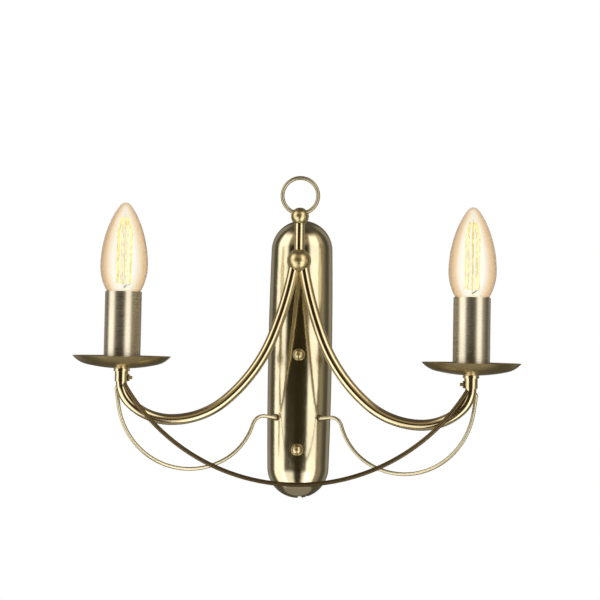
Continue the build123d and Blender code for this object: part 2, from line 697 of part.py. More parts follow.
def filament_points(sign):
    """Corners of the filament, in loops round its cage that each rise to a peak."""
    points = []
    for loop in range(FILAMENT_LOOPS):
        middle = loop * 360 / FILAMENT_LOOPS
        for turn, radius, height in (
            (-FILAMENT_SPREAD, CAGE_RADIUS, CAGE_FOOT_Z),
            (-FILAMENT_SPREAD, CAGE_RADIUS, CAGE_SHOULDER_Z),
            (0, CAGE_PEAK_RADIUS, CAGE_PEAK_Z),
            (FILAMENT_SPREAD, CAGE_RADIUS, CAGE_SHOULDER_Z),
            (FILAMENT_SPREAD, CAGE_RADIUS, CAGE_FOOT_Z),
        ):
            angle = math.radians(middle + turn)
            x = sign * CUP_X + radius * math.cos(angle)
            points.append((x, CUP_Y + radius * math.sin(angle), height))
    return points


for side, sign in SIDES:
    with BuildPart() as ferrule:
        with BuildSketch(cup_level(sign, FERRULE_BOTTOM_Z)) as ferrule_round:
            Circle(FERRULE_RADIUS)
        extrude(amount=FLANGE_TOP_Z - FERRULE_BOTTOM_Z)
        with BuildSketch(cup_level(sign, FLANGE_TOP_Z)) as flange_round:
            Circle(FLANGE_RADIUS)
        extrude(amount=-FLANGE_THICK)
        with BuildSketch(cup_level(sign, FERRULE_BOTTOM_Z)) as arm_seat:
            Circle(ARM_RADIUS + FIT)
        extrude(amount=ARM_TOP_Z - FERRULE_BOTTOM_Z + SEAT, mode=Mode.SUBTRACT)
        with BuildSketch(cup_level(sign, FERRULE_BOTTOM_Z)) as nipple_seat:
            Circle(NIPPLE_RADIUS + FIT)
        extrude(amount=FLANGE_TOP_Z - FERRULE_BOTTOM_Z, mode=Mode.SUBTRACT)
        with BuildSketch(
            Plane(origin=(sign * CUP_X, CUP_Y, LOCK_SCREW_Z), z_dir=(-sign, 0, 0))
        ) as lock_thread:
            Circle(LOCK_SCREW_RADIUS + FIT)
        extrude(amount=FLANGE_RADIUS, mode=Mode.SUBTRACT)
    save(ferrule, f"{side}_ferrule")

    with BuildPart() as cup_nipple:
        with BuildSketch(cup_level(sign, NIPPLE_BOTTOM_Z)) as nipple_ring:
            Circle(NIPPLE_RADIUS)
            Circle(NIPPLE_BORE_RADIUS, mode=Mode.SUBTRACT)
        extrude(amount=HOLDER_BOTTOM_Z + HOLDER_BASE - NIPPLE_BOTTOM_Z)
    save(cup_nipple, f"{side}_cup_nipple")

    with BuildPart() as drip_pan:
        with BuildSketch(cup_section(sign)) as pan_profile:
            with BuildLine():
                base_rise = PAN_BASE_CURVE - math.sqrt(PAN_BASE_CURVE**2 - PAN_BASE_REACH**2)
                base_end = (PAN_BASE_REACH, PAN_BOTTOM_Z + base_rise)
                base_slope = (PAN_BASE_CURVE - base_rise, PAN_BASE_REACH)
                TangentArc((0, PAN_BOTTOM_Z), base_end, tangent=(1, 0))
                TangentArc(base_end, (PAN_RADIUS, PAN_RIM_Z), tangent=base_slope)
                Line((PAN_RADIUS, PAN_RIM_Z), (0, PAN_RIM_Z))
                Line((0, PAN_RIM_Z), (0, PAN_BOTTOM_Z))
            make_face()
        revolve(axis=cup_axis(sign))
        offset(amount=-PAN_SHEET, openings=drip_pan.faces().sort_by(Axis.Z)[-1])
        with BuildSketch(cup_level(sign, PAN_BOTTOM_Z)) as pan_hole:
            Circle(NIPPLE_RADIUS + FIT)
        extrude(amount=PAN_DEPTH, mode=Mode.SUBTRACT)
    save(drip_pan, f"{side}_drip_pan")

    with BuildPart() as pan_nut:
        nut_foot_z = pan_floor(PAN_NUT_HEX / math.sqrt(3)) + SEAT
        with BuildSketch(cup_level(sign, nut_foot_z)) as pan_nut_outline:
            RegularPolygon(PAN_NUT_HEX / 2, 6, major_radius=False)
            Circle(NIPPLE_RADIUS + FIT, mode=Mode.SUBTRACT)
        extrude(amount=PAN_NUT_HEIGHT)
    save(pan_nut, f"{side}_pan_nut")

    with BuildPart() as candle_sleeve:
        sleeve_foot_z = pan_floor(SLEEVE_RADIUS) + SEAT
        with BuildSketch(cup_level(sign, sleeve_foot_z)) as sleeve_ring:
            Circle(SLEEVE_RADIUS)
            Circle(SLEEVE_RADIUS - SLEEVE_WALL, mode=Mode.SUBTRACT)
        extrude(amount=SLEEVE_TOP_Z - sleeve_foot_z)
    save(candle_sleeve, f"{side}_candle_sleeve")

    with BuildPart() as lampholder:
        with BuildSketch(cup_level(sign, HOLDER_BOTTOM_Z)) as holder_round:
            Circle(HOLDER_RADIUS)
        extrude(amount=HOLDER_TOP_Z - HOLDER_BOTTOM_Z)
        with BuildSketch(cup_level(sign, HOLDER_BOTTOM_Z)) as holder_thread:
            Circle(NIPPLE_RADIUS + FIT)
        extrude(amount=HOLDER_BASE, mode=Mode.SUBTRACT)
        with BuildSketch(cup_level(sign, HOLDER_BOTTOM_Z + HOLDER_BASE)) as holder_chamber:
            Circle(HOLDER_CHAMBER_RADIUS)
        extrude(amount=HOLDER_FLOOR_Z - HOLDER_BOTTOM_Z - HOLDER_BASE, mode=Mode.SUBTRACT)
        with BuildSketch(cup_level(sign, HOLDER_FLOOR_Z)) as post_hole:
            with Locations((-CONTACT_HALF_LENGTH, 0)):
                Circle(CONTACT_POST_RADIUS + FIT)
        extrude(amount=HOLDER_FLOOR, mode=Mode.SUBTRACT)
        with BuildSketch(cup_level(sign, HOLDER_FLOOR_Z + HOLDER_FLOOR)) as shell_seat:
            Circle(SHELL_RADIUS + FIT)
        extrude(amount=HOLDER_TOP_Z - HOLDER_FLOOR_Z - HOLDER_FLOOR, mode=Mode.SUBTRACT)
        with BuildSketch(cup_level(sign, HOLDER_TOP_Z)) as holder_mouth:
            Circle(HOLDER_MOUTH_RADIUS)
        extrude(amount=-HOLDER_MOUTH, mode=Mode.SUBTRACT)
    save(lampholder, f"{side}_lampholder")

    with BuildPart() as screw_shell:
        with BuildSketch(cup_level(sign, HOLDER_FLOOR_Z + HOLDER_FLOOR + SEAT)) as shell_ring:
            Circle(SHELL_RADIUS)
            Circle(SHELL_RADIUS - SHELL_SHEET, mode=Mode.SUBTRACT)
        extrude(amount=SHELL_HEIGHT)
    save(screw_shell, f"{side}_screw_shell")

    with BuildPart() as contact_spring:
        floor_z = HOLDER_FLOOR_Z + HOLDER_FLOOR + SEAT
        with BuildSketch(cup_section(sign)) as leaf_profile:
            with BuildLine():
                reach = sign * CONTACT_HALF_LENGTH
                ThreePointArc((-reach, floor_z), (0, floor_z + CONTACT_RISE), (reach, floor_z))
                Line((reach, floor_z), (reach, floor_z + CONTACT_SHEET))
                ThreePointArc(
                    (-reach, floor_z + CONTACT_SHEET),
                    (0, floor_z + CONTACT_RISE + CONTACT_SHEET),
                    (reach, floor_z + CONTACT_SHEET),
                )
                Line((-reach, floor_z), (-reach, floor_z + CONTACT_SHEET))
            make_face()
        extrude(amount=CONTACT_WIDTH / 2, both=True)
        with BuildSketch(cup_level(sign, HOLDER_FLOOR_Z)) as contact_post:
            with Locations((-CONTACT_HALF_LENGTH, 0)):
                Circle(CONTACT_POST_RADIUS)
        extrude(amount=HOLDER_FLOOR + SEAT + CONTACT_SHEET)
    save(contact_spring, f"{side}_contact_spring")

    with BuildPart() as bulb_base:
        with BuildSketch(cup_section(sign)) as base_profile:
            with BuildLine():
                button_top = BULB_BUTTON_Z + BULB_BUTTON_HEIGHT
                shoulder_z = button_top + INSULATOR_HEIGHT
                Polyline(
                    (0, BULB_BUTTON_Z),
                    (BULB_BUTTON_RADIUS, BULB_BUTTON_Z),
                    (BULB_BUTTON_RADIUS, button_top),
                    (INSULATOR_FOOT_RADIUS, button_top),
                    (CAP_ROOT_RADIUS, shoulder_z),
                    (SPIGOT_RADIUS, shoulder_z),
                    (SPIGOT_RADIUS, shoulder_z + SPIGOT_HEIGHT),
                    (0, shoulder_z + SPIGOT_HEIGHT),
                    close=True,
                )
            make_face()
        revolve(axis=cup_axis(sign))
        fillet(bulb_base.edges().sort_by(Axis.Z)[0], BULB_BUTTON_HEIGHT / 2)
    save(bulb_base, f"{side}_bulb_base")

    with BuildPart() as bulb_cap:
        with BuildSketch(cup_section(sign)) as cap_profile:
            outline = cap_outline()
            inner = [(radius - CAP_SHEET, z) for radius, z in outline]
            with BuildLine():
                Polyline(*outline, *reversed(inner), close=True)
            make_face()
        revolve(axis=cup_axis(sign))
    save(bulb_cap, f"{side}_bulb_cap")

    with BuildPart() as bulb_glass:
        with BuildSketch(cup_section(sign)) as glass_profile:
            with BuildLine():
                neck_radius = draw_glass(0)
            make_face()
        revolve(axis=cup_axis(sign))
        with BuildSketch(cup_section(sign)) as glass_space:
            with BuildLine():
                draw_glass(GLASS_WALL)
            make_face()
        revolve(axis=cup_axis(sign), mode=Mode.SUBTRACT)
    save(bulb_glass, f"{side}_bulb_glass")

    with BuildPart() as bulb_stem:
        with BuildSketch(cup_section(sign)) as mount_profile:
            with BuildLine():
                flare_edge = (neck_radius - GLASS_WALL - FIT, GLASS_FOOT_Z)
                flare_top = (MOUNT_ROD_RADIUS, GLASS_FOOT_Z + MOUNT_FLARE)
                Line((0, GLASS_FOOT_Z), flare_edge)
                TangentArc(flare_top, flare_edge, tangent=(0, -1))
                Line(flare_top, (MOUNT_ROD_RADIUS, MOUNT_TOP_Z))
                Line((MOUNT_ROD_RADIUS, MOUNT_TOP_Z), (0, MOUNT_TOP_Z))
                Line((0, MOUNT_TOP_Z), (0, GLASS_FOOT_Z))
            make_face()
        revolve(axis=cup_axis(sign))
    save(bulb_stem, f"{side}_bulb_stem")

    corners = filament_points(sign)
    with BuildPart() as bulb_filament:
        with BuildLine() as filament_route:
            FilletPolyline(*corners, radius=FILAMENT_BEND)
        sweep_round(filament_route, FILAMENT_RADIUS)
    save(bulb_filament, f"{side}_bulb_filament")

    with BuildPart() as bulb_supports:
        with BuildSketch(cup_level(sign, MOUNT_TOP_Z + SEAT)) as mast_round:
            Circle(SUPPORT_RADIUS)
        extrude(amount=MOUNT_MAST_TOP_Z - MOUNT_TOP_Z)
        for end in (corners[0], corners[-1]):
            lead_foot = (sign * CUP_X, CUP_Y, MOUNT_TOP_Z + 2 * SUPPORT_RADIUS)
            lead_tip = (end[0], end[1], end[2] - 2 * SUPPORT_RADIUS)
            with BuildLine() as lead_route:
                Line(lead_foot, lead_tip)
            sweep_round(lead_route, SUPPORT_RADIUS)
    save(bulb_supports, f"{side}_bulb_supports")

# ---------------------------------------------------------------- lock screws of both cups
FERRULE_NUT_REACH = FERRULE_RADIUS + SEAT

with BuildPart() as lock_screws:
    for _, sign in SIDES:
        screw_foot = (sign * (CUP_X - ARM_RADIUS - FIT), CUP_Y, LOCK_SCREW_Z)
        with BuildSketch(Plane(origin=screw_foot, z_dir=(-sign, 0, 0))) as screw_round:
            Circle(LOCK_SCREW_RADIUS)
        extrude(amount=LOCK_SCREW_REACH - ARM_RADIUS)
save(lock_screws, "lock_screws")

with BuildPart() as lock_nuts:
    for _, sign in SIDES:
        nut_foot = (sign * (CUP_X - FERRULE_NUT_REACH), CUP_Y, LOCK_SCREW_Z)
        with BuildSketch(Plane(origin=nut_foot, z_dir=(-sign, 0, 0))) as lock_nut_outline:
            RegularPolygon(LOCK_NUT_HEX / 2, 6, major_radius=False)
            Circle(LOCK_SCREW_RADIUS + FIT, mode=Mode.SUBTRACT)
        extrude(amount=LOCK_NUT_THICK)
save(lock_nuts, "lock_nuts")

# ---------------------------------------------------------------- terminal block
BLOCK_BACK_Y = STRAP_FRONT - SEAT
BLOCK_FRONT_Y = BLOCK_BACK_Y - BLOCK_DEPTH
BLOCK_TOP_Z = BLOCK_Z + BLOCK_HEIGHT / 2
BLOCK_BOTTOM_Z = BLOCK_Z - BLOCK_HEIGHT / 2
CLAMP_BACK_Y = CABLE_BACK_Y - BLOCK_WAY_RADIUS - SEAT

with BuildPart() as terminal_block:
    with BuildSketch(front_plane(0, BLOCK_BACK_Y, BLOCK_Z)) as block_outline:
        Rectangle(BLOCK_WIDTH, BLOCK_HEIGHT)
        with Locations((BLOCK_PITCH / 2, 0)):
            Circle(BLOCK_SCREW_RADIUS + FIT, mode=Mode.SUBTRACT)
    extrude(amount=BLOCK_DEPTH)
    with BuildSketch(Plane.XY.offset(BLOCK_BOTTOM_Z)) as block_ways:
        with Locations(
            (-BLOCK_PITCH, CABLE_BACK_Y), (0, CABLE_BACK_Y), (BLOCK_PITCH, CABLE_BACK_Y)
        ):
            Circle(BLOCK_WAY_RADIUS)
    extrude(amount=BLOCK_HEIGHT, mode=Mode.SUBTRACT)
    with BuildSketch(front_plane(0, CLAMP_BACK_Y, BLOCK_Z)) as clamp_holes:
        with GridLocations(BLOCK_PITCH, CLAMP_SCREW_SPREAD, 3, 2):
            Circle(CLAMP_SCREW_RADIUS + FIT)
    extrude(amount=BLOCK_DEPTH, mode=Mode.SUBTRACT)
save(terminal_block, "terminal_block")

with BuildPart() as terminal_screws:
    with BuildSketch(front_plane(0, CLAMP_BACK_Y, BLOCK_Z)) as clamp_rounds:
        with GridLocations(BLOCK_PITCH, CLAMP_SCREW_SPREAD, 3, 2):
            Circle(CLAMP_SCREW_RADIUS)
    extrude(amount=CLAMP_BACK_Y - BLOCK_FRONT_Y + CLAMP_SCREW_PROUD)
save(terminal_screws, "terminal_screws")

with BuildPart() as terminal_fixing:
    with BuildSketch(front_plane(BLOCK_PITCH / 2, -STUD_STAND_OFF, BLOCK_Z)) as fixing_round:
        Circle(BLOCK_SCREW_RADIUS)
    extrude(amount=-STUD_STAND_OFF - BLOCK_FRONT_Y + SEAT)
    with BuildSketch(front_plane(BLOCK_PITCH / 2, BLOCK_FRONT_Y - SEAT, BLOCK_Z)) as fixing_head:
        Circle(BLOCK_SCREW_HEAD_RADIUS)
    extrude(amount=BLOCK_SCREW_HEAD)
save(terminal_fixing, "terminal_fixing")

# ---------------------------------------------------------------- earth connection
TAG_BACK_Y = STRAP_FRONT - SEAT
TAG_FRONT_Y = TAG_BACK_Y - TAG_SHEET

with BuildPart() as earth_tag:
    with BuildSketch(front_plane(0, TAG_BACK_Y, EARTH_Z)) as tag_outline:
        Circle(TAG_RADIUS)
        with Locations((0, TAG_TONGUE / 2)):
            Rectangle(TAG_TONGUE_WIDTH, TAG_TONGUE)
        Circle(EARTH_SCREW_RADIUS + FIT, mode=Mode.SUBTRACT)
    extrude(amount=TAG_SHEET)
save(earth_tag, "earth_tag")

with BuildPart() as earth_screw:
    with BuildSketch(front_plane(0, -STUD_STAND_OFF, EARTH_Z)) as earth_round:
        Circle(EARTH_SCREW_RADIUS)
    extrude(amount=-STUD_STAND_OFF - TAG_FRONT_Y + SEAT)
    with BuildSketch(front_plane(0, TAG_FRONT_Y - SEAT, EARTH_Z)) as earth_head:
        Circle(EARTH_HEAD_RADIUS)
    extrude(amount=EARTH_HEAD)
save(earth_screw, "earth_screw")

with BuildPart() as earth_lead:
    lead_z = EARTH_Z + TAG_TONGUE - EARTH_LEAD_RADIUS - SEAT
    with BuildLine() as earth_route:
        FilletPolyline(
            (0, CABLE_BACK_Y, BLOCK_BOTTOM_Z + BLOCK_GRIP),
            (0, CABLE_BACK_Y, lead_z),
            (0, TAG_FRONT_Y - SEAT, lead_z),
            radius=EARTH_LEAD_BEND,
        )
    sweep_round(earth_route, EARTH_LEAD_RADIUS)
save(earth_lead, "earth_lead")

# ---------------------------------------------------------------- lamp cables
for side, sign in SIDES:
    with BuildPart() as lamp_cable:
        with BuildLine() as cable_route:
            cable_foot, cable_direction = draw_arm(sign, HOLDER_FLOOR_Z - SEAT)
            turn_up = cable_foot + cable_direction * (ARM_FOOT_DROP / cable_direction.Z)
            block_x = sign * BLOCK_PITCH
            FilletPolyline(
                cable_foot,
                turn_up,
                (turn_up.X, CABLE_BACK_Y, HUB_Z),
                (block_x, CABLE_BACK_Y, HUB_Z - CABLE_DROP),
                (block_x, CABLE_BACK_Y, BLOCK_TOP_Z - BLOCK_GRIP),
                radius=CABLE_BEND,
            )
        sweep_round(cable_route, CABLE_RADIUS)
    save(lamp_cable, f"{side}_lamp_cable")
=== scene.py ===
"""Looks of the double arm wall sconce: aged brass, lit bulbs and soft studio light.

Lengths are in metres and colours are linear.
"""

import math

import bpy
from mathutils import Matrix, Vector

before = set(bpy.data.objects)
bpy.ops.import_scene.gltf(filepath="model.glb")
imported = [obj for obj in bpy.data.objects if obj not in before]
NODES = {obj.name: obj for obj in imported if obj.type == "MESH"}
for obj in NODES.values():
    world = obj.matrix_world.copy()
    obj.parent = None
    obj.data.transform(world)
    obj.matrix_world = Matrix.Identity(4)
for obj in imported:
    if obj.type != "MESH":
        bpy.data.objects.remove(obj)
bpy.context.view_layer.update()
SIDES = ("left", "right")
WHITE = (1.0, 1.0, 1.0)

# ---------------------------------------------------------------- texture numbers
# Each noise is a scale and a detail. Places are where a colour ramp's colours stand.
NOISE_ROUGHNESS = 0.55
NOISE_SPAN = (0.3, 0.7)
NEW_STOP_AT = 0.5
FINE_RELIEF_DEPTH = 0.0001

EVEN = (1, 1, 1)
BRUSHED_ALONG = (1, 1, 0.08)
BRUSHED_ROUND = (0.06, 0.06, 1)

METAL_CLOUD = (34, 5)
METAL_GRAIN = (1600, 3)
METAL_PLACES = (0.34, 0.58)
METAL_RELIEF = 0.02
METAL_TARNISH = 0.9

PLASTIC_CLOUD = (60, 3)
PLASTIC_GRAIN = (1400, 2)
PLASTIC_PLACES = (0.35, 0.6)
PLASTIC_RELIEF = 0.12
PALE_SHADE = 0.9
BLACK_SHADE = 0.7

GLASS_IOR = 1.45
GLASS_FACING_BLEND = 0.5
GLASS_WAVES = (24, 2)
GLASS_WAVE_STRENGTH = 0.04
GLASS_WAVE_DEPTH = 0.0004

STRIPE_SCALE = 260
STRIPE_DISTORTION = 1.5
STRIPE_PLACES = (0.49, 0.51)
STRIPE_ROUGHNESS = 0.45

GLOW_CLOUD = (240, 2)
GLOW_PLACES = (0.4, 0.55)
GLOW_DIM_SHARE = 0.6
GLOW_BASE_SHARE = 0.25


# ---------------------------------------------------------------- node helpers
def set_inputs(node, values):
    """Set a node's own input sockets to constants."""
    for name, value in values.items():
        node.inputs[name].default_value = value


def noise(nodes, links, scale, detail, stretch=EVEN):
    """A noise texture on the object's own coordinates, scaled along its axes."""
    coords = nodes.new("ShaderNodeTexCoord")
    mapping = nodes.new("ShaderNodeMapping")
    texture = nodes.new("ShaderNodeTexNoise")
    set_inputs(mapping, {"Scale": stretch})
    set_inputs(texture, {"Scale": scale, "Detail": detail})
    set_inputs(texture, {"Roughness": NOISE_ROUGHNESS})
    links.new(coords.outputs["Object"], mapping.inputs["Vector"])
    links.new(mapping.outputs["Vector"], texture.inputs["Vector"])
    return texture.outputs["Fac"]


def blend_colours(nodes, links, factor, places, colours):
    """A colour ramp over a factor, with one colour at each place."""
    ramp = nodes.new("ShaderNodeValToRGB")
    elements = ramp.color_ramp.elements
    while len(elements) < len(places):
        elements.new(NEW_STOP_AT)
    for element, place, colour in zip(elements, places, colours):
        element.position = place
        element.color = (*colour, 1)
    links.new(factor, ramp.inputs["Fac"])
    return ramp.outputs["Color"]


def ranged(nodes, links, value, source, target, interpolation="LINEAR"):
    """A value taken from a source range to a target range."""
    node = nodes.new("ShaderNodeMapRange")
    node.interpolation_type = interpolation
    set_inputs(node, dict(zip(("From Min", "From Max"), source)))
    set_inputs(node, dict(zip(("To Min", "To Max"), target)))
    links.new(value, node.inputs["Value"])
    return node.outputs["Result"]


def bump(nodes, links, shader, height, strength, depth):
    """Fine relief on a shader."""
    node = nodes.new("ShaderNodeBump")
    set_inputs(node, {"Strength": strength, "Distance": depth})
    links.new(height, node.inputs["Height"])
    links.new(node.outputs["Normal"], shader.inputs["Normal"])


def dimmed(colour, share):
    """A darker colour, with that share of each channel."""
    return tuple(channel * share for channel in colour)


# ---------------------------------------------------------------- material helpers
def start(name):
    """A new node material; gives it, its nodes, its links and its Principled shader."""
    mat = bpy.data.materials.new(name)
    mat.use_nodes = True
    nodes = mat.node_tree.nodes
    return mat, nodes, mat.node_tree.links, nodes["Principled BSDF"]


def mottled(name, colours, places, cloud, grain, rough, relief):
    """Slow clouds of two colours, and one fine grain for both gloss and relief."""
    mat, nodes, links, shader = start(name)
    clouds = noise(nodes, links, *cloud)
    colour = blend_colours(nodes, links, clouds, places, colours)
    links.new(colour, shader.inputs["Base Color"])
    fine = noise(nodes, links, *grain)
    gloss = ranged(nodes, links, fine, NOISE_SPAN, rough)
    links.new(gloss, shader.inputs["Roughness"])
    bump(nodes, links, shader, fine, relief, FINE_RELIEF_DEPTH)
    return mat, shader


def metal(name, tone, rough, grain=EVEN, relief=METAL_RELIEF, tarnish=METAL_TARNISH):
    """A metal with a slow tarnish over its tone, and a grain that may be brushed."""
    colours = (dimmed(tone, tarnish), tone)
    fine = (*METAL_GRAIN, grain)
    mat, shader = mottled(name, colours, METAL_PLACES, METAL_CLOUD, fine, rough, relief)
    set_inputs(shader, {"Metallic": 1.0})
    return mat


def plastic(name, tone, rough, shade=PALE_SHADE):
    """A moulded plastic with faint clouds and a fine moulded texture."""
    colours = (dimmed(tone, shade), tone)
    look = (PLASTIC_PLACES, PLASTIC_CLOUD, PLASTIC_GRAIN, rough, PLASTIC_RELIEF)
    return mottled(name, colours, *look)[0]


def glass(name, layers):
    """Thin blown glass, tinted more where seen along its wall, and faintly wavy."""
    mat, nodes, links, shader = start(name)
    weight = nodes.new("ShaderNodeLayerWeight")
    set_inputs(weight, {"Blend": GLASS_FACING_BLEND})
    colour = blend_colours(nodes, links, weight.outputs["Facing"], *zip(*layers))
    links.new(colour, shader.inputs["Base Color"])
    set_inputs(shader, {"Transmission Weight": 1.0, "Roughness": 0.0, "IOR": GLASS_IOR})
    waves = noise(nodes, links, *GLASS_WAVES)
    bump(nodes, links, shader, waves, GLASS_WAVE_STRENGTH, GLASS_WAVE_DEPTH)
    return mat


def stripes(name, *colours):
    """A sheath with bands of two colours."""
    mat, nodes, links, shader = start(name)
    coords = nodes.new("ShaderNodeTexCoord")
    wave = nodes.new("ShaderNodeTexWave")
    set_inputs(wave, {"Scale": STRIPE_SCALE, "Distortion": STRIPE_DISTORTION})
    links.new(coords.outputs["Object"], wave.inputs["Vector"])
    colour = blend_colours(nodes, links, wave.outputs["Fac"], STRIPE_PLACES, colours)
    links.new(colour, shader.inputs["Base Color"])
    set_inputs(shader, {"Roughness": STRIPE_ROUGHNESS})
    return mat


def lit_wire(name, colour, strength):
    """A wire that glows, a little unevenly along its length."""
    mat, nodes, links, shader = start(name)
    clouds = noise(nodes, links, *GLOW_CLOUD)
    colours = (dimmed(colour, GLOW_DIM_SHARE), colour)
    tint = blend_colours(nodes, links, clouds, GLOW_PLACES, colours)
    links.new(tint, shader.inputs["Emission Color"])
    base = (*dimmed(colour, GLOW_BASE_SHARE), 1)
    set_inputs(shader, {"Base Color": base, "Emission Strength": strength})
    return mat


def dress(mat, *names):
    """Give a material to nodes."""
    for name in names:
        for slot in NODES[name].material_slots:
            slot.material = mat


def both(*names):
    """The left and right nodes of each name."""
    return [f"{side}_{name}" for side in SIDES for name in names]


# ---------------------------------------------------------------- materials
# Metals and plastics: name, tone, lowest and highest roughness, then what differs.
plate_brass = metal("plate_brass", (0.67, 0.60, 0.42), (0.12, 0.17), BRUSHED_ALONG)
turned_brass = metal("turned_brass", (0.63, 0.53, 0.29), (0.26, 0.33), BRUSHED_ROUND)
neck_brass = metal("neck_brass", (0.72, 0.61, 0.37), (0.14, 0.2), BRUSHED_ROUND)
tube_brass = metal("tube_brass", (0.72, 0.61, 0.38), (0.13, 0.16), relief=0.001)
# The drip pans get a darker tone and darker tarnish clouds than the other brass. This
# is painted shade for the dark undersides of the pans.
pan_brass_painted_shade = metal("pan_brass_painted_shade", (0.56, 0.45, 0.24), (0.26, 0.34), tarnish=0.84)
ring_brass = metal("ring_brass", (0.54, 0.48, 0.31), (0.33, 0.38), relief=0.001)
wire_brass = metal("wire_brass", (0.68, 0.61, 0.41), (0.32, 0.36), relief=0.001)
rod_brass = metal(
    "rod_brass", (0.16, 0.115, 0.055), (0.38, 0.43), relief=0.002, tarnish=0.8
)
sleeve_brass = metal(
    "sleeve_brass", (0.68, 0.62, 0.49), (0.26, 0.32), BRUSHED_ROUND, relief=0.008
)
zinc = metal("zinc_steel", (0.58, 0.59, 0.60), (0.28, 0.42))
contact_brass = metal("contact_brass", (0.78, 0.60, 0.28), (0.2, 0.3))
nickel = metal("cap_nickel", (0.72, 0.70, 0.66), (0.18, 0.28))
support_wire = metal("support_wire", (0.88, 0.80, 0.52), (0.3, 0.4))
holder_resin = plastic("holder_resin", (0.80, 0.77, 0.70), (0.4, 0.55))
terminal_resin = plastic("terminal_resin", (0.78, 0.78, 0.75), (0.35, 0.5))
insulator = plastic("cap_insulator", (0.02, 0.02, 0.022), (0.08, 0.16), BLACK_SHADE)
cable_sheath = plastic("cable_sheath", (0.035, 0.035, 0.038), (0.4, 0.55), BLACK_SHADE)
earth_sheath = stripes("earth_sheath", (0.08, 0.36, 0.05), (0.75, 0.62, 0.03))

# Glass tints, from where the wall is seen face on to where it is seen edge on.
AMBER_LAYERS = (
    (0.0, (1.0, 0.99, 0.95)),
    (0.12, (1.0, 0.975, 0.90)),
    (0.3, (0.92, 0.76, 0.55)),
    (0.6, (0.78, 0.56, 0.35)),
    (0.8, (0.42, 0.31, 0.19)),
)
CLEAR_LAYERS = ((0.0, (1.0, 0.97, 0.80)), (1.0, (0.94, 0.86, 0.58)))
lamp_glass = glass("lamp_glass", AMBER_LAYERS)
mount_glass = glass("mount_glass", CLEAR_LAYERS)
hot_filament = lit_wire("hot_filament", (1.0, 0.86, 0.3), 1.0)

dress(plate_brass, "backplate")
dress(turned_brass, "hub_ball", "hub_spacer", "top_ball")
dress(turned_brass, "cap_nuts", "lock_screws", "lock_nuts")
dress(neck_brass, "neck_tube", *both("ferrule"))
dress(tube_brass, *both("arm"))
dress(ring_brass, "top_ring")
dress(wire_brass, *both("side_wire"))
dress(rod_brass, "cross_rod")
dress(pan_brass_painted_shade, *both("drip_pan"))
dress(sleeve_brass, *both("candle_sleeve"))
dress(zinc, "mounting_bracket", "bracket_studs", "stud_nuts", "hub_stem", "hub_nut")
dress(zinc, "hub_washer", "neck_stud", "wire_push_nuts", "terminal_fixing")
dress(zinc, *both("cup_nipple", "pan_nut"))
dress(contact_brass, "terminal_screws", "earth_screw", "earth_tag")
dress(contact_brass, *both("screw_shell", "contact_spring"))
dress(nickel, *both("bulb_cap"))
dress(insulator, *both("bulb_base"))
dress(holder_resin, *both("lampholder"))
dress(terminal_resin, "terminal_block")
dress(cable_sheath, *both("lamp_cable"))
dress(earth_sheath, "earth_lead")
dress(lamp_glass, *both("bulb_glass"))
dress(mount_glass, *both("bulb_stem"))
dress(support_wire, *both("bulb_supports"))
dress(hot_filament, *both("bulb_filament"))

# ---------------------------------------------------------------- studio numbers
FLOOR_RADIUS = 1.15
FLOOR_HEIGHT = -1.9
FLOOR_SIDES = 96
FLOOR_CLOUD = (3, 3)
FLOOR_PLACES = (0.3, 0.7)
FLOOR_COLOURS = ((0.78, 0.78, 0.77), (0.82, 0.82, 0.81))
FLOOR_ROUGHNESS = 0.8
FLOOR_FADE = (0.6, 1.0)

# The room's lights, each with the azimuths and elevations between which it shines, the
# half widths of its soft edges in both, in degrees, and its colour. Azimuth 0 is the
# room's side of the object, and positive ones are on its right.
SOFT_LIGHTS = (
    ((-87, -44), (-60, 48), (5, 10), (1.65, 1.62, 1.55)),
    ((26, 60), (-60, 48), (4, 10), (1.65, 1.62, 1.55)),
    ((62, 84), (-60, 48), (12, 10), (0.3, 0.27, 0.2)),
    ((-52, -14), (-62, -12), (6, 3), (1.35, 1.32, 1.25)),
    ((14, 40), (-62, -12), (6, 3), (1.35, 1.32, 1.25)),
    ((-150, -115), (-30, 55), (8, 12), (0.25, 0.24, 0.22)),
    ((115, 150), (-30, 55), (8, 12), (0.25, 0.24, 0.22)),
    ((-80, 80), (20, 56), (8, 10), (0.36, 0.29, 0.2)),
)
ROOM_FRONT = (0.03, 0.022, 0.007)
ROOM_BACK = (0.11, 0.1, 0.08)
# Y of a direction, which is 1 straight at the wall: where the room's front gives way
# to its back, and where the backdrop begins in reflections.
ROOM_BLEND = (-0.75, 0.1)
BACKDROP_EDGE = (0.965, 0.99)
# The places of the colour sockets on a Mix node.
MIX_A, MIX_B, MIX_OUT = 6, 7, 2


# ---------------------------------------------------------------- studio helpers
def maths(nodes, links, operation, first, second=0.0):
    """One maths node over two sockets or numbers."""
    node = nodes.new("ShaderNodeMath")
    node.operation = operation
    for place, value in enumerate((first, second)):
        if isinstance(value, (int, float)):
            node.inputs[place].default_value = value
        else:
            links.new(value, node.inputs[place])
    return node.outputs[0]


def fade(nodes, links, value, source, target):
    """A smooth step between the two ends of a target range."""
    return ranged(nodes, links, value, source, target, "SMOOTHSTEP")


def window(nodes, links, angle, limits, soft):
    """1 between two limits and 0 outside them; limits and soft edges are in degrees."""
    low, high = (math.radians(limit) for limit in limits)
    soft = math.radians(soft)
    rise = fade(nodes, links, angle, (low - soft, low + soft), (0.0, 1.0))
    fall = fade(nodes, links, angle, (high - soft, high + soft), (1.0, 0.0))
    return maths(nodes, links, "MULTIPLY", rise, fall)


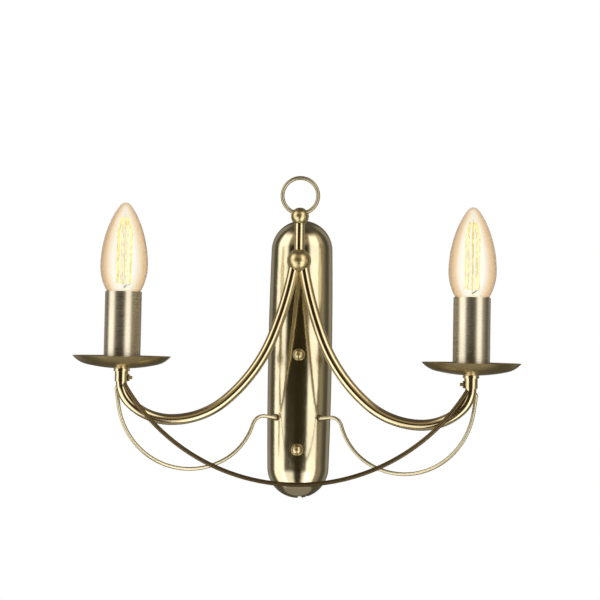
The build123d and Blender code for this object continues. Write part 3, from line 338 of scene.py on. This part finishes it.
def mixed(nodes, links, blend, factor, first, second):
    """Two colours, sockets or constants, put together by a factor."""
    node = nodes.new("ShaderNodeMix")
    node.data_type = "RGBA"
    node.blend_type = blend
    links.new(factor, node.inputs["Factor"])
    for place, colour in ((MIX_A, first), (MIX_B, second)):
        if isinstance(colour, tuple):
            node.inputs[place].default_value = (*colour, 1)
        else:
            links.new(colour, node.inputs[place])
    return node.outputs[MIX_OUT]


def floor_material():
    """A pale matt floor, which turns white for the camera towards its rim."""
    mat, nodes, links, shader = start("floor")
    clouds = noise(nodes, links, *FLOOR_CLOUD)
    colour = blend_colours(nodes, links, clouds, FLOOR_PLACES, FLOOR_COLOURS)
    links.new(colour, shader.inputs["Base Color"])
    set_inputs(shader, {"Roughness": FLOOR_ROUGHNESS})
    coords = nodes.new("ShaderNodeTexCoord")
    length = nodes.new("ShaderNodeVectorMath")
    length.operation = "LENGTH"
    links.new(coords.outputs["Object"], length.inputs[0])
    away = length.outputs["Value"]
    middle_to_rim = (abs(FLOOR_HEIGHT), math.hypot(FLOOR_RADIUS, FLOOR_HEIGHT))
    white_share = fade(nodes, links, away, middle_to_rim, FLOOR_FADE)
    rays = nodes.new("ShaderNodeLightPath")
    seen = maths(nodes, links, "MULTIPLY", white_share, rays.outputs["Is Camera Ray"])
    white = nodes.new("ShaderNodeEmission")
    join = nodes.new("ShaderNodeMixShader")
    parts = (seen, shader.outputs["BSDF"], white.outputs["Emission"])
    for socket, part in zip(join.inputs, parts):
        links.new(part, socket)
    links.new(join.outputs["Shader"], nodes["Material Output"].inputs["Surface"])
    return mat


def floor_disc():
    """A round floor, so far below that light still comes from underneath."""
    turns = [side * math.tau / FLOOR_SIDES for side in range(FLOOR_SIDES)]
    rim = [
        (FLOOR_RADIUS * math.cos(turn), FLOOR_RADIUS * math.sin(turn), FLOOR_HEIGHT)
        for turn in turns
    ]
    mesh = bpy.data.meshes.new("floor")
    mesh.from_pydata(rim, [], [list(range(FLOOR_SIDES))])
    floor = bpy.data.objects.new("floor", mesh)
    bpy.context.scene.collection.objects.link(floor)
    mesh.materials.append(floor_material())


def studio_world():
    """A white backdrop behind the object, and a dim room with tall soft lights."""
    world = bpy.data.worlds.new("studio")
    bpy.context.scene.world = world
    world.use_nodes = True
    nodes, links = world.node_tree.nodes, world.node_tree.links
    coords = nodes.new("ShaderNodeTexCoord")
    split = nodes.new("ShaderNodeSeparateXYZ")
    links.new(coords.outputs["Generated"], split.inputs["Vector"])
    east, north, up = (split.outputs[axis] for axis in "XYZ")
    south = maths(nodes, links, "MULTIPLY", north, -1.0)
    azimuth = maths(nodes, links, "ARCTAN2", east, south)
    elevation = maths(nodes, links, "ARCSINE", up)
    behind = fade(nodes, links, north, ROOM_BLEND, (0.0, 1.0))
    room = mixed(nodes, links, "MIX", behind, ROOM_FRONT, ROOM_BACK)
    for azimuths, elevations, (soft_azimuth, soft_elevation), colour in SOFT_LIGHTS:
        across = window(nodes, links, azimuth, azimuths, soft_azimuth)
        upward = window(nodes, links, elevation, elevations, soft_elevation)
        area = maths(nodes, links, "MULTIPLY", across, upward)
        room = mixed(nodes, links, "ADD", area, room, colour)
    # The backdrop is white for the camera, through glass, and in grazing reflections.
    backdrop = fade(nodes, links, north, BACKDROP_EDGE, (0.0, 1.0))
    rays = nodes.new("ShaderNodeLightPath")
    glossy = maths(nodes, links, "MULTIPLY", rays.outputs["Is Glossy Ray"], backdrop)
    clear = maths(nodes, links, "MAXIMUM", rays.outputs["Is Transmission Ray"], glossy)
    seen = maths(nodes, links, "MAXIMUM", rays.outputs["Is Camera Ray"], clear)
    shown = mixed(nodes, links, "MIX", seen, room, WHITE)
    links.new(shown, nodes["Background"].inputs["Color"])


floor_disc()
studio_world()

# ---------------------------------------------------------------- camera
# Fitted to the photo: metres, radians and pixels.
CAMERA_AT = (0.04395, -0.9220, 0.04644)
CAMERA_YAW = -0.04864
CAMERA_PITCH = 0.03664
CAMERA_ROLL = 0.01939
FOCAL_PIXELS = 1155.65
IMAGE_PIXELS = 600
SENSOR_MILLIMETRES = 36
NEAREST_SEEN = 0.01

right = Vector((math.cos(CAMERA_YAW), -math.sin(CAMERA_YAW), 0))
ahead = Vector(
    (
        math.sin(CAMERA_YAW) * math.cos(CAMERA_PITCH),
        math.cos(CAMERA_YAW) * math.cos(CAMERA_PITCH),
        math.sin(CAMERA_PITCH),
    )
)
above = right.cross(ahead)
rolled_right = right * math.cos(CAMERA_ROLL) + above * math.sin(CAMERA_ROLL)
rolled_up = above * math.cos(CAMERA_ROLL) - right * math.sin(CAMERA_ROLL)
turned = Matrix((rolled_right, rolled_up, -ahead)).transposed().to_4x4()

lens = bpy.data.cameras.new("camera")
lens.sensor_fit = "HORIZONTAL"
lens.sensor_width = SENSOR_MILLIMETRES
lens.lens = SENSOR_MILLIMETRES * FOCAL_PIXELS / IMAGE_PIXELS
lens.clip_start = NEAREST_SEEN
camera = bpy.data.objects.new("camera", lens)
camera.matrix_world = Matrix.Translation(CAMERA_AT) @ turned
bpy.context.scene.collection.objects.link(camera)
bpy.context.scene.camera = camera
bpy.context.scene.view_settings.view_transform = "Standard"
